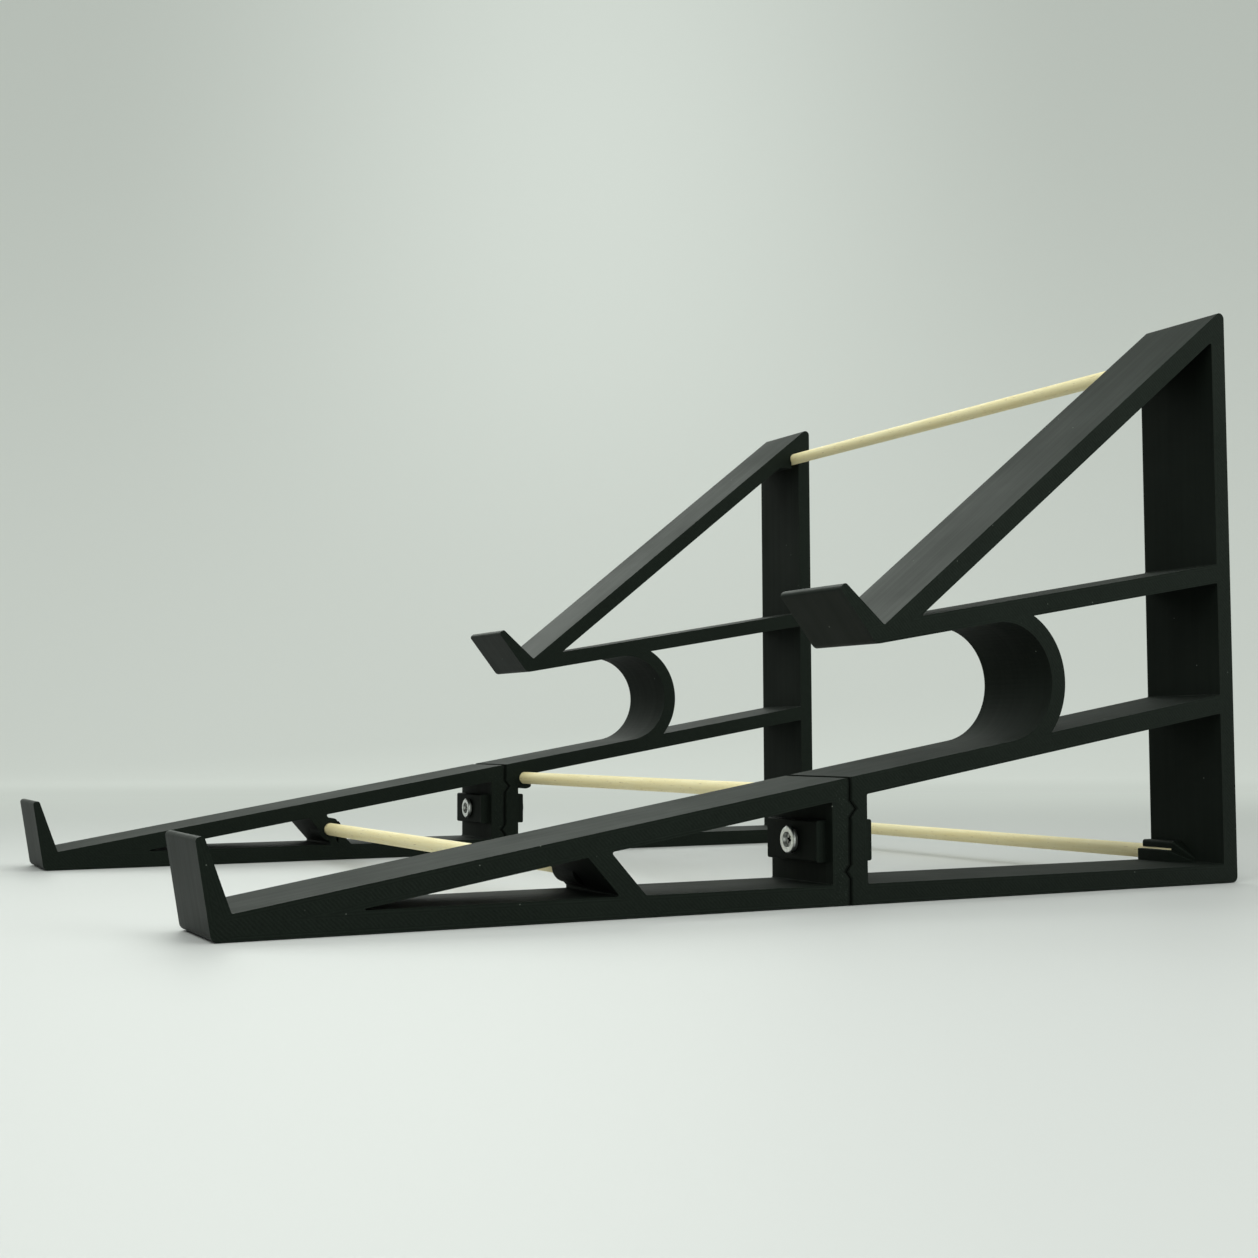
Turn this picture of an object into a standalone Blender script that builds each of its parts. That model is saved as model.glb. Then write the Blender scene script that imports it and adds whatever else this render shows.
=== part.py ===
# Two-tier desktop stand: two printed side frames, each bolted together from a front and a rear half,
# and four round wooden rods that hold the frames apart. Metres, +Z up, front at -Y.

import math

import bmesh
import bpy
from mathutils import Vector

# The side frames, seen from the side: y runs from the front foot to the rear face, z up from the desk.
FRAME_WIDTH = 0.0400
INNER_GAP = 0.2680
FOOT_LENGTH = 0.4125
BAR = 0.0072
FOOT_R = 0.0025
SHELF_SLOPE = math.radians(9.5)
UPPER_SLOPE = math.radians(38.1)
APEX_Z = 0.2336  # where the upper shelf's face meets the rear face, before the top is rounded
APEX_R = 0.0023
UPPER_CORNER_Y = 0.2413
SLOT_HEIGHT = 0.0447
TURN_Y = 0.2961
TURN_WALL = 0.0064
WINDOW_R = 0.0006

# The lips that stop a device from sliding off the shelves.
LOWER_LIP = 0.0242
UPPER_LIP = 0.0219
LIP_DRAFT = math.radians(10.4)
LIP_TOP_R = 0.0013
LIP_HEEL_R = 0.0025

# The brace under the lower shelf.
BRACE_Y = 0.1343
BRACE_LEAN = math.radians(41.5)

# The joint between the halves: two V keys, a pad on either side, and one bolt.
SPLIT_Y = 0.2253
SPLIT_GAP = 0.0004
SEAM_R = 0.0012
UPPER_KEY = (0.0338, 0.0030, 0.0024)  # height of the ridge, half width, depth
LOWER_KEY = (0.0117, 0.0025, 0.0019)
BOLT_Z = 0.0224
PAD_HALF = 0.00735
PAD_RISE = 0.0043
PAD_INSET = 0.0037
PAD_R = 0.0008
BOLT_HOLE_R = 0.0028

# The rods and the split sockets that grip their ends; places are (y, z).
ROD_R = 0.0030
ROD_LENGTH = 0.3000
ROD_CHAMFER = 0.0004
FIT = 0.0003  # gap left between pieces that touch
FRONT_ROD = (0.1334, 0.0147)
MIDDLE_ROD = (0.2366, 0.0380)
TOP_ROD = (0.4032, 0.2147)
REAR_ROD = (0.4032, 0.0106)
SOCKET_WALL = 0.0022
SOCKET_END = 0.0005
TAPER_SCALE = 0.15
FINGER_ANGLE = math.radians(46)
FINGER_Y = 0.4006
HOOK_Z = 0.2091
JAW_Y = 0.3978
JAW_Z = 0.0119

# Screw, washer and nut.
SHANK_R = 0.0025
SCREW_LENGTH = 0.0300
HEAD_R = 0.0049
HEAD_HEIGHT = 0.0030
WASHER_R = 0.0050
WASHER_THICK = 0.0010
NUT_FLATS = 0.0080
NUT_THICK = 0.0042

SOCKET_R = ROD_R + FIT
BOSS_R = SOCKET_R + SOCKET_WALL
SOCKET_DEPTH = (ROD_LENGTH - INNER_GAP) / 2 + FIT
INNER_X = INNER_GAP / 2
OUTER_X = INNER_X + FRAME_WIDTH
BOLT_X = INNER_X + FRAME_WIDTH / 2
FRONT_SPLIT = SPLIT_Y - SPLIT_GAP / 2
REAR_SPLIT = SPLIT_Y + SPLIT_GAP / 2
FRONT_PAD_Y = FRONT_SPLIT - BAR - PAD_RISE
REAR_PAD_Y = REAR_SPLIT + BAR + PAD_RISE
POST_Y = FOOT_LENGTH - BAR
SHELF_RISE = math.tan(SHELF_SLOPE)
UPPER_RISE = math.tan(UPPER_SLOPE)
PAST = 0.002  # how far a cutter runs past the face that it opens


def shelf_top(y):
    return BAR + y * SHELF_RISE


def shelf_under(y):
    return shelf_top(y) - BAR / math.cos(SHELF_SLOPE)


def tier_under(y):
    return shelf_top(y) + SLOT_HEIGHT / math.cos(SHELF_SLOPE)


def tier_top(y):
    return tier_under(y) + BAR / math.cos(SHELF_SLOPE)


def upper_top(y):
    return APEX_Z - (FOOT_LENGTH - y) * UPPER_RISE


def upper_under(y):
    return upper_top(y) - BAR / math.cos(UPPER_SLOPE)


def polar(centre, radius, angle):
    return (centre[0] + radius * math.cos(angle), centre[1] + radius * math.sin(angle))


def arc(centre, radius, start, end, steps):
    return [polar(centre, radius, start + (end - start) * i / steps) for i in range(steps + 1)]


def circle(centre, radius, steps):
    return arc(centre, radius, 0, math.tau, steps)[:-1]


def rounded(corners):
    """The outline through (y, z) or (y, z, radius) corners, with an arc at each corner that has a radius."""
    outline = []
    for i, corner in enumerate(corners):
        here = Vector(corner[:2])
        if len(corner) == 2:
            outline.append(tuple(here))
            continue
        radius = corner[2]
        before = (Vector(corners[i - 1][:2]) - here).normalized()
        after = (Vector(corners[(i + 1) % len(corners)][:2]) - here).normalized()
        half = before.angle(after) / 2
        centre = here + (before + after).normalized() * radius / math.sin(half)
        start = here + before * radius / math.tan(half) - centre
        end = here + after * radius / math.tan(half) - centre
        first = math.atan2(start.y, start.x)
        turn = (math.atan2(end.y, end.x) - first + math.pi) % math.tau - math.pi
        outline += arc(centre, radius, first, first + turn, max(3, round(abs(turn) / math.radians(15))))
    return outline


def lip_corners(corner, slope, height):
    """Inner top and front top corners of a lip on the low end of a sloping shelf, and its upright direction."""
    along = Vector((-math.cos(slope), -math.sin(slope)))
    upright = Vector((-math.sin(slope), math.cos(slope)))
    inner_top = Vector(corner) + upright * height + along * height * math.tan(LIP_DRAFT)
    front_top = Vector(corner) + upright * height + along * BAR
    return inner_top, front_top, upright


def turn_centre():
    return (TURN_Y, shelf_top(TURN_Y) + SLOT_HEIGHT / 2 / math.cos(SHELF_SLOPE))


def front_outline():
    corner_y = BAR * (1 - math.sin(SHELF_SLOPE)) * math.cos(SHELF_SLOPE)
    corner = (corner_y, shelf_top(corner_y))
    inner_top, front_top, _ = lip_corners(corner, SHELF_SLOPE, LOWER_LIP)
    tongue, tongue_half, tongue_depth = UPPER_KEY
    groove, groove_half, groove_depth = LOWER_KEY
    return rounded([
        (0.0, 0.0, FOOT_R),
        (FRONT_SPLIT, 0.0),
        (FRONT_SPLIT, groove - groove_half),
        (FRONT_SPLIT - groove_depth, groove),
        (FRONT_SPLIT, groove + groove_half),
        (FRONT_SPLIT, tongue - tongue_half),
        (FRONT_SPLIT + tongue_depth, tongue),
        (FRONT_SPLIT, tongue + tongue_half),
        (FRONT_SPLIT, shelf_top(FRONT_SPLIT), SEAM_R),
        (*corner, WINDOW_R),
        (*inner_top, LIP_TOP_R),
        (*front_top, LIP_TOP_R),
    ])


def rear_outline():
    corner = (UPPER_CORNER_Y, upper_top(UPPER_CORNER_Y))
    inner_top, front_top, upright = lip_corners(corner, UPPER_SLOPE, UPPER_LIP)
    steep = upright.y / upright.x
    heel_y = (tier_under(0) - front_top.y + steep * front_top.x) / (steep - SHELF_RISE)
    tongue, tongue_half, tongue_depth = LOWER_KEY
    groove, groove_half, groove_depth = UPPER_KEY
    quarter = math.pi / 2
    return rounded([
        (REAR_SPLIT, 0.0),
        (FOOT_LENGTH, 0.0, FOOT_R),
        (FOOT_LENGTH, APEX_Z, APEX_R),
        (*corner, WINDOW_R),
        (*inner_top, LIP_TOP_R),
        (*front_top, LIP_TOP_R),
        (heel_y, tier_under(heel_y), LIP_HEEL_R),
        *arc(turn_centre(), SLOT_HEIGHT / 2, SHELF_SLOPE + quarter, SHELF_SLOPE - quarter, 36),
        (REAR_SPLIT, shelf_top(REAR_SPLIT)),
        (REAR_SPLIT, groove + groove_half),
        (REAR_SPLIT + groove_depth, groove),
        (REAR_SPLIT, groove - groove_half),
        (REAR_SPLIT, tongue + tongue_half),
        (REAR_SPLIT - tongue_depth, tongue),
        (REAR_SPLIT, tongue - tongue_half),
    ])


def brace_at_shelf(foot_y):
    """Where a brace face that stands on the base bar at foot_y meets the shelf's underside."""
    lean = math.tan(BRACE_LEAN)
    y = (foot_y - (shelf_under(0) - BAR) * lean) / (1 + SHELF_RISE * lean)
    return (y, shelf_under(y))


def front_windows():
    rear_foot = BRACE_Y + BAR / math.cos(BRACE_LEAN)
    post = FRONT_SPLIT - BAR
    return [
        rounded([
            (BAR / math.sin(SHELF_SLOPE), BAR, 0.0003),
            (BRACE_Y, BAR, WINDOW_R),
            (*brace_at_shelf(BRACE_Y), WINDOW_R),
        ]),
        rounded([
            (rear_foot, BAR, WINDOW_R),
            (post, BAR, WINDOW_R),
            (post, shelf_under(post), WINDOW_R),
            (*brace_at_shelf(rear_foot), WINDOW_R),
        ]),
    ]


def rear_windows():
    near = REAR_SPLIT + BAR
    radius = SLOT_HEIGHT / 2 + TURN_WALL
    reach = math.asin(SLOT_HEIGHT / 2 / radius)
    tip_y = (tier_top(0) - upper_under(0)) / (UPPER_RISE - SHELF_RISE)
    return [
        rounded([
            (near, BAR, WINDOW_R),
            (POST_Y, BAR, WINDOW_R),
            (POST_Y, shelf_under(POST_Y), WINDOW_R),
            (near, shelf_under(near), WINDOW_R),
        ]),
        rounded([
            *arc(turn_centre(), radius, SHELF_SLOPE + reach, SHELF_SLOPE - reach, 32),
            (POST_Y, shelf_top(POST_Y), WINDOW_R),
            (POST_Y, tier_under(POST_Y), WINDOW_R),
        ]),
        rounded([
            (tip_y, tier_top(tip_y), 0.0003),
            (POST_Y, tier_top(POST_Y), WINDOW_R),
            (POST_Y, upper_under(POST_Y), WINDOW_R),
        ]),
    ]


def loft(bm, rings):
    """A closed body through rings of points that all have the same count."""
    rows = [[bm.verts.new(point) for point in ring] for ring in rings]
    count = len(rows[0])
    faces = [bm.faces.new(rows[0]), bm.faces.new(rows[-1])]
    for low, high in zip(rows[:-1], rows[1:]):
        for i in range(count):
            k = (i + 1) % count
            faces.append(bm.faces.new((low[i], low[k], high[k], high[i])))
    bmesh.ops.recalc_face_normals(bm, faces=faces)


def prism(bm, outline, x0, x1):
    """A closed prism of an outline in the y-z plane, from x0 to x1."""
    loft(bm, [[(x, y, z) for y, z in outline] for x in (x0, x1)])


def boss(bm, outline, anchor, side):
    """A socket's boss: straight as deep as the rod goes, then tapering into the frame at about 45 degrees."""
    reach = max((Vector(point) - Vector(anchor)).length for point in outline)
    stations = (
        (INNER_X, 1.0),
        (INNER_X + SOCKET_DEPTH + SOCKET_END, 1.0),
        (INNER_X + SOCKET_DEPTH + SOCKET_END + (1 - TAPER_SCALE) * reach, TAPER_SCALE),
    )
    rings = []
    for x, scale in stations:
        scaled = [Vector(anchor).lerp(Vector(point), scale) for point in outline]
        rings.append([(side * x, point.x, point.y) for point in scaled])
    loft(bm, rings)


def revolve(bm, profile, steps, centre):
    """A closed body turned about a line along y through centre, from (radius, y) points of a closed profile."""
    rows = []
    for i in range(steps):
        angle = math.tau * i / steps
        spin = (math.cos(angle), math.sin(angle))
        rows.append([bm.verts.new((centre[0] + r * spin[0], y, centre[1] + r * spin[1])) for r, y in profile])
    for i in range(steps):
        here, there = rows[i], rows[(i + 1) % steps]
        for k in range(len(profile)):
            n = (k + 1) % len(profile)
            if max(profile[k][0], profile[n][0]) > 1e-6:
                bm.faces.new((here[k], here[n], there[n], there[k]))
    bmesh.ops.remove_doubles(bm, verts=bm.verts, dist=1e-7)
    bmesh.ops.dissolve_degenerate(bm, edges=bm.edges, dist=1e-7)
    bmesh.ops.recalc_face_normals(bm, faces=bm.faces)


def new_object(name, bm):
    mesh = bpy.data.meshes.new(name)
    bm.to_mesh(mesh)
    bm.free()
    thing = bpy.data.objects.new(name, mesh)
    bpy.context.collection.objects.link(thing)
    return thing


def combine(thing, operation, build):
    """Add to a piece, or cut from it, the bodies that build() makes."""
    bm = bmesh.new()
    build(bm)
    tool = new_object("tool", bm)
    boolean = thing.modifiers.new("shape", "BOOLEAN")
    boolean.operation = operation
    boolean.solver = "EXACT"
    boolean.use_self = True
    boolean.object = tool
    shaped = thing.evaluated_get(bpy.context.evaluated_depsgraph_get())
    result = bpy.data.meshes.new_from_object(shaped)
    thing.modifiers.clear()
    before = thing.data
    thing.data = result
    tool_mesh = tool.data
    bpy.data.objects.remove(tool)
    bpy.data.meshes.remove(tool_mesh)
    bpy.data.meshes.remove(before)


def finish(thing, material, smooth_angle):
    """Join the coplanar faces that cuts leave, shade round faces smooth, and give the piece its material."""
    bm = bmesh.new()
    bm.from_mesh(thing.data)
    bmesh.ops.remove_doubles(bm, verts=bm.verts, dist=2e-6)
    bmesh.ops.dissolve_limit(bm, angle_limit=math.radians(0.1), verts=bm.verts, edges=bm.edges)
    bmesh.ops.translate(bm, verts=bm.verts, vec=(0, -middle_y, 0))
    bm.to_mesh(thing.data)
    bm.free()
    thing.data.name = thing.name
    thing.data.shade_smooth()
    thing.data.set_sharp_from_angle(angle=math.radians(smooth_angle))
    thing.data.materials.clear()
    thing.data.materials.append(material)


def make_material(name, colour, roughness, metallic):
    material = bpy.data.materials.new(name)
    material.use_nodes = True
    shader = material.node_tree.nodes["Principled BSDF"]
    shader.inputs["Base Color"].default_value = (*colour, 1.0)
    shader.inputs["Roughness"].default_value = roughness
    shader.inputs["Metallic"].default_value = metallic
    material.diffuse_color = (*colour, 1.0)
    return material


def pad(bm, free_y, root_y, side):
    """The raised block under the screw's head or the nut, rounded along its free edges."""
    prism(bm, rounded([
        (free_y, BOLT_Z - PAD_HALF, PAD_R),
        (root_y, BOLT_Z - PAD_HALF),
        (root_y, BOLT_Z + PAD_HALF),
        (free_y, BOLT_Z + PAD_HALF, PAD_R),
    ]), side * (INNER_X + PAD_INSET), side * (OUTER_X - PAD_INSET))


def bolt_bore(bm, side):
    ring = circle((side * BOLT_X, BOLT_Z), BOLT_HOLE_R, 32)
    loft(bm, [[(x, y, z) for x, z in ring] for y in (FRONT_PAD_Y - PAST, REAR_PAD_Y + PAST)])


def socket_cut(bm, outline, side):
    """A cut from the frame's inner face, as deep as a rod's end goes."""
    prism(bm, outline, side * (INNER_X - PAST), side * (INNER_X + SOCKET_DEPTH))


def tip_angle():
    """Where a finger's rounded end is centred, so that the finger ends at FINGER_ANGLE."""
    return FINGER_ANGLE + SOCKET_WALL / (SOCKET_R + BOSS_R)


def finger_tip(bm, centre, angle, side):
    """The rounded end of a clip's finger."""
    ring = circle(polar(centre, (SOCKET_R + BOSS_R) / 2, angle), SOCKET_WALL / 2, 16)
    prism(bm, ring, side * INNER_X, side * (INNER_X + SOCKET_DEPTH + SOCKET_END / 2))


def front_half(name, side):
    bm = bmesh.new()
    prism(bm, front_outline(), side * INNER_X, side * OUTER_X)
    half = new_object(name, bm)

    def windows(bm):
        for outline in front_windows():
            prism(bm, outline, side * (INNER_X - PAST), side * (OUTER_X + PAST))

    def additions(bm):
        y, z = FRONT_ROD
        boss(bm, circle(FRONT_ROD, BOSS_R, 36), FRONT_ROD, side)
        low = [(y, BAR - 0.001), (y + 0.0046, BAR - 0.001), (y + 0.0046, z - 0.003), (y, z - 0.003)]
        boss(bm, low, (y + 0.0005, BAR - 0.0009), side)
        pad(bm, FRONT_PAD_Y, FRONT_SPLIT - BAR + 0.001, side)

    def cuts(bm):
        angle = tip_angle()
        socket_cut(bm, circle(FRONT_ROD, SOCKET_R, 40), side)
        socket_cut(bm, [FRONT_ROD, polar(FRONT_ROD, 0.0080, -angle), polar(FRONT_ROD, 0.0080, angle)], side)
        bolt_bore(bm, side)

    def tips(bm):
        finger_tip(bm, FRONT_ROD, tip_angle(), side)
        finger_tip(bm, FRONT_ROD, -tip_angle(), side)

    combine(half, "DIFFERENCE", windows)
    combine(half, "UNION", additions)
    combine(half, "DIFFERENCE", cuts)
    combine(half, "UNION", tips)
    return half


def rear_half(name, side):
    bm = bmesh.new()
    prism(bm, rear_outline(), side * INNER_X, side * OUTER_X)
    half = new_object(name, bm)

    def windows(bm):
        for outline in rear_windows():
            prism(bm, outline, side * (INNER_X - PAST), side * (OUTER_X + PAST))

    def additions(bm):
        boss(bm, circle(MIDDLE_ROD, BOSS_R, 36), (MIDDLE_ROD[0] - 0.0050, MIDDLE_ROD[1] + 0.0030), side)
        hook_y = FOOT_LENGTH - (APEX_Z - BAR / math.cos(UPPER_SLOPE) - HOOK_Z) / UPPER_RISE
        hook = rounded([
            (hook_y - 0.0020, HOOK_Z),
            (FINGER_Y, HOOK_Z, 0.0006),
            (FINGER_Y, upper_under(FINGER_Y) + 0.0020),
        ])
        boss(bm, hook, (hook_y + 0.0040, upper_under(hook_y + 0.0040) + 0.0012), side)
        jaw = rounded([
            (JAW_Y, BAR - 0.0010),
            (POST_Y + 0.0010, BAR - 0.0010),
            (POST_Y + 0.0010, REAR_ROD[1] + 0.0049),
            (FINGER_Y, REAR_ROD[1] + 0.0049, 0.0012),
            (FINGER_Y, JAW_Z),
            (JAW_Y, JAW_Z, 0.0005),
        ])
        boss(bm, jaw, (POST_Y + 0.0022, BAR - 0.0017), side)
        pad(bm, REAR_PAD_Y, REAR_SPLIT + BAR - 0.001, side)

    def cuts(bm):
        low = polar(MIDDLE_ROD, 0.0080, -tip_angle())
        end = MIDDLE_ROD[0] + 0.0090
        for place in (MIDDLE_ROD, TOP_ROD, REAR_ROD):
            socket_cut(bm, circle(place, SOCKET_R, 40), side)
        socket_cut(bm, [
            MIDDLE_ROD,
            low,
            (end, low[1]),
            (end, shelf_under(end)),
            (MIDDLE_ROD[0], shelf_under(MIDDLE_ROD[0])),
        ], side)
        bolt_bore(bm, side)

    def tips(bm):
        finger_tip(bm, MIDDLE_ROD, -tip_angle(), side)

    combine(half, "DIFFERENCE", windows)
    combine(half, "UNION", additions)
    combine(half, "DIFFERENCE", cuts)
    combine(half, "UNION", tips)
    return half


def rod(name, place):
    half = ROD_LENGTH / 2
    stations = (
        (-half, ROD_R - ROD_CHAMFER),
        (-half + ROD_CHAMFER, ROD_R),
        (half - ROD_CHAMFER, ROD_R),
        (half, ROD_R - ROD_CHAMFER),
    )
    bm = bmesh.new()
    loft(bm, [[(x, y, z) for y, z in circle(place, radius, 40)] for x, radius in stations])
    return new_object(name, bm)


def screw(name, x):
    """A pan-head screw: a low dome over a straight rim, and a plain shank with a chamfered end."""
    seat = FRONT_PAD_Y - FIT
    rim = 0.0010
    steps = [math.radians(d) for d in range(0, 91, 15)]
    dome = [(HEAD_R * math.cos(a), seat - rim - (HEAD_HEIGHT - rim) * math.sin(a)) for a in steps]
    end = seat + SCREW_LENGTH
    profile = [(0.0, end), (SHANK_R - 0.0005, end), (SHANK_R, end - 0.0005), (SHANK_R, seat), (HEAD_R, seat)]
    bm = bmesh.new()
    revolve(bm, profile + dome, 40, (x, BOLT_Z))
    return new_object(name, bm)


def washer(name, x):
    start = REAR_PAD_Y + FIT
    bore = SHANK_R + FIT
    profile = [(bore, start), (WASHER_R, start), (WASHER_R, start + WASHER_THICK), (bore, start + WASHER_THICK)]
    bm = bmesh.new()
    revolve(bm, profile, 40, (x, BOLT_Z))
    return new_object(name, bm)


def nut(name, x):
    """A hexagon nut with its corners chamfered at both ends."""
    start = REAR_PAD_Y + WASHER_THICK + 2 * FIT
    end = start + NUT_THICK
    chamfer = 0.0004
    steps = 48
    flat = NUT_FLATS / 2
    stations = (
        (start, "bore"),
        (start, "face"),
        (start + chamfer, "hexagon"),
        (end - chamfer, "hexagon"),
        (end, "face"),
        (end, "bore"),
    )
    bm = bmesh.new()
    rings = []
    for y, kind in stations:
        ring = []
        for i in range(steps):
            angle = math.tau * i / steps
            across = (angle + math.pi / 6) % (math.pi / 3) - math.pi / 6
            radius = {"bore": SHANK_R + FIT, "face": flat * 0.98, "hexagon": flat / math.cos(across)}[kind]
            ring.append(bm.verts.new((x + radius * math.sin(angle), y, BOLT_Z + radius * math.cos(angle))))
        rings.append(ring)
    for k, low in enumerate(rings):
        high = rings[(k + 1) % len(rings)]
        for i in range(steps):
            n = (i + 1) % steps
            bm.faces.new((low[i], low[n], high[n], high[i]))
    bmesh.ops.recalc_face_normals(bm, faces=bm.faces)
    return new_object(name, bm)


for old in list(bpy.data.objects):
    bpy.data.objects.remove(old)

middle_y = (min(y for y, _ in front_outline()) + FOOT_LENGTH) / 2

plastic = make_material("frame_plastic", (0.035, 0.037, 0.035), 0.45, 0.0)
steel = make_material("joint_steel", (0.62, 0.62, 0.60), 0.28, 1.0)
wood = make_material("rod_wood", (0.76, 0.66, 0.46), 0.60, 0.0)

for word, side in (("left", -1), ("right", 1)):
    finish(front_half("front_frame_" + word, side), plastic, 25)
    finish(rear_half("rear_frame_" + word, side), plastic, 25)
    finish(screw("joint_screw_" + word, side * BOLT_X), steel, 35)
    finish(washer("joint_washer_" + word, side * BOLT_X), steel, 35)
    finish(nut("joint_nut_" + word, side * BOLT_X), steel, 20)

for rod_name, place in (("front_rod", FRONT_ROD), ("middle_rod", MIDDLE_ROD),
                        ("rear_rod", REAR_ROD), ("top_rod", TOP_ROD)):
    finish(rod(rod_name, place), wood, 35)
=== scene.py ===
import math

import bmesh
import bpy
from mathutils import Matrix, Vector


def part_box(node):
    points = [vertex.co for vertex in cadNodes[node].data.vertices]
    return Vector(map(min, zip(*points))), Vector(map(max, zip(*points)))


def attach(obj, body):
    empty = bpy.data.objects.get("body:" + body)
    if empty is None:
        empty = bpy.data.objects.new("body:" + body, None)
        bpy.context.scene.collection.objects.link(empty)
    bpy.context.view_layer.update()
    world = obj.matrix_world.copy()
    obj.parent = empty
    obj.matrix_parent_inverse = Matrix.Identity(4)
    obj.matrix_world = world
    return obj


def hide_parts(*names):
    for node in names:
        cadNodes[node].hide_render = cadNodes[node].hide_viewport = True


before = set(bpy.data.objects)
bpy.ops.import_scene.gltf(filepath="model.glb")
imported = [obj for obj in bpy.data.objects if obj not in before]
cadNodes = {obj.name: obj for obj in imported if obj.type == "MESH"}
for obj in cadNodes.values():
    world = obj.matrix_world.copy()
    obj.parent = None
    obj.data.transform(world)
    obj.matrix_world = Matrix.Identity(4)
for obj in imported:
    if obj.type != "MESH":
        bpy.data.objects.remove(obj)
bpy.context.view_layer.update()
print("frame loaded,", len(cadNodes), "pieces")

perMetre = 1000.0  # the printed pattern is worked out in millimetres
mergeWithin = 1e-7
viewHeading = 62.659


# a maths node on values or sockets
def calc(tree, operation, *values, clamp=False):
    node = tree.nodes.new("ShaderNodeMath")
    node.operation = operation
    node.use_clamp = clamp
    for i, value in enumerate(values):
        if isinstance(value, (int, float)):
            node.inputs[i].default_value = value
        else:
            tree.links.new(value, node.inputs[i])
    return node.outputs[0]


def lengthOf(tree, first, second):
    squares = [calc(tree, "MULTIPLY", value, value) for value in (first, second)]
    return calc(tree, "SQRT", calc(tree, "ADD", *squares))


# a straight or smooth change from one value to another
def remap(tree, value, low, high, toLow, toHigh, smooth=False):
    node = tree.nodes.new("ShaderNodeMapRange")
    node.interpolation_type = "SMOOTHSTEP" if smooth else "LINEAR"
    for name, number in (("From Min", low), ("From Max", high), ("To Min", toLow), ("To Max", toHigh)):
        node.inputs[name].default_value = number
    tree.links.new(value, node.inputs["Value"])
    return node.outputs["Result"]


def mixColour(tree, factor, first, second):
    node = tree.nodes.new("ShaderNodeMix")
    node.data_type = "RGBA"
    for value, slot in ((factor, 0), (first, 6), (second, 7)):
        if isinstance(value, bpy.types.NodeSocket):
            tree.links.new(value, node.inputs[slot])
        else:
            node.inputs[slot].default_value = value
    return node.outputs[2]


def splitUp(tree, vector):
    node = tree.nodes.new("ShaderNodeSeparateXYZ")
    tree.links.new(vector, node.inputs[0])
    return node.outputs


def noise(tree, vector, scale, detail, rough):
    node = tree.nodes.new("ShaderNodeTexNoise")
    node.inputs["Scale"].default_value = scale
    node.inputs["Detail"].default_value = detail
    node.inputs["Roughness"].default_value = rough
    tree.links.new(vector, node.inputs["Vector"])
    return node.outputs["Fac"]


def stretch(tree, vector, scale, shift=(0, 0, 0), turn=(0, 0, 0)):
    node = tree.nodes.new("ShaderNodeMapping")
    node.inputs["Scale"].default_value = scale
    node.inputs["Location"].default_value = shift
    node.inputs["Rotation"].default_value = turn
    tree.links.new(vector, node.inputs["Vector"])
    return node.outputs["Vector"]


# noise drawn out along an axis, for fibres and streaks
def grain(tree, vector, squeeze, shift, scale, detail, rough):
    return noise(tree, stretch(tree, vector, squeeze, shift), scale, detail, rough)


def newGroup(name, outputs):
    tree = bpy.data.node_groups.new(name, "ShaderNodeTree")
    tree.interface.new_socket("Vector", in_out="INPUT", socket_type="NodeSocketVector")
    for label in outputs:
        tree.interface.new_socket(label, in_out="OUTPUT", socket_type="NodeSocketFloat")
    vector = tree.nodes.new("NodeGroupInput").outputs["Vector"]
    return tree, vector, tree.nodes.new("NodeGroupOutput").inputs


def useGroup(tree, group, vector):
    node = tree.nodes.new("ShaderNodeGroup")
    node.node_tree = group
    tree.links.new(vector, node.inputs["Vector"])
    return node.outputs


# the side frame's bars in millimetres, y from the front foot and z from the desk
profile = {
    "frontY": -203.7685,
    "bar": 7.2,
    "shelfSlope": 9.5,
    "slot": 44.7,
    "slotBarFrom": 236.0,
    "upperSlope": 38.1,
    "upperFrom": 95.0,
    "apex": (412.5, 233.6),
    "brace": (134.3, 41.5),
    "braceUntil": 150.0,
    "posts": ((217.9, 47.0), (225.5, 47.0), (405.3, 300.0)),
    "turn": (296.1, 79.4, 22.35, 6.4),
    "lowerLip": (0.0, 0.0, 9.5, 10.4, 6.0),
    "upperLip": (241.3, 99.4, 38.1, 10.4, 7.2),
    "lipBack": 1.2,
    "lipsAbove": {"lowerLip": -5.0, "upperLip": 84.0},
    "lipFade": (2.5, 8.0),
    "handled": (95.0, 215.0),
    "handledPolish": (1.0, 0.2),
    "handledSkin": -0.6,
    "split": 225.3,
    "splitTop": 60.0,
    "keys": ((33.8, 3.0, 2.4), (11.7, 2.5, -1.9)),
    "farOff": 99.0,
}


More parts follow.
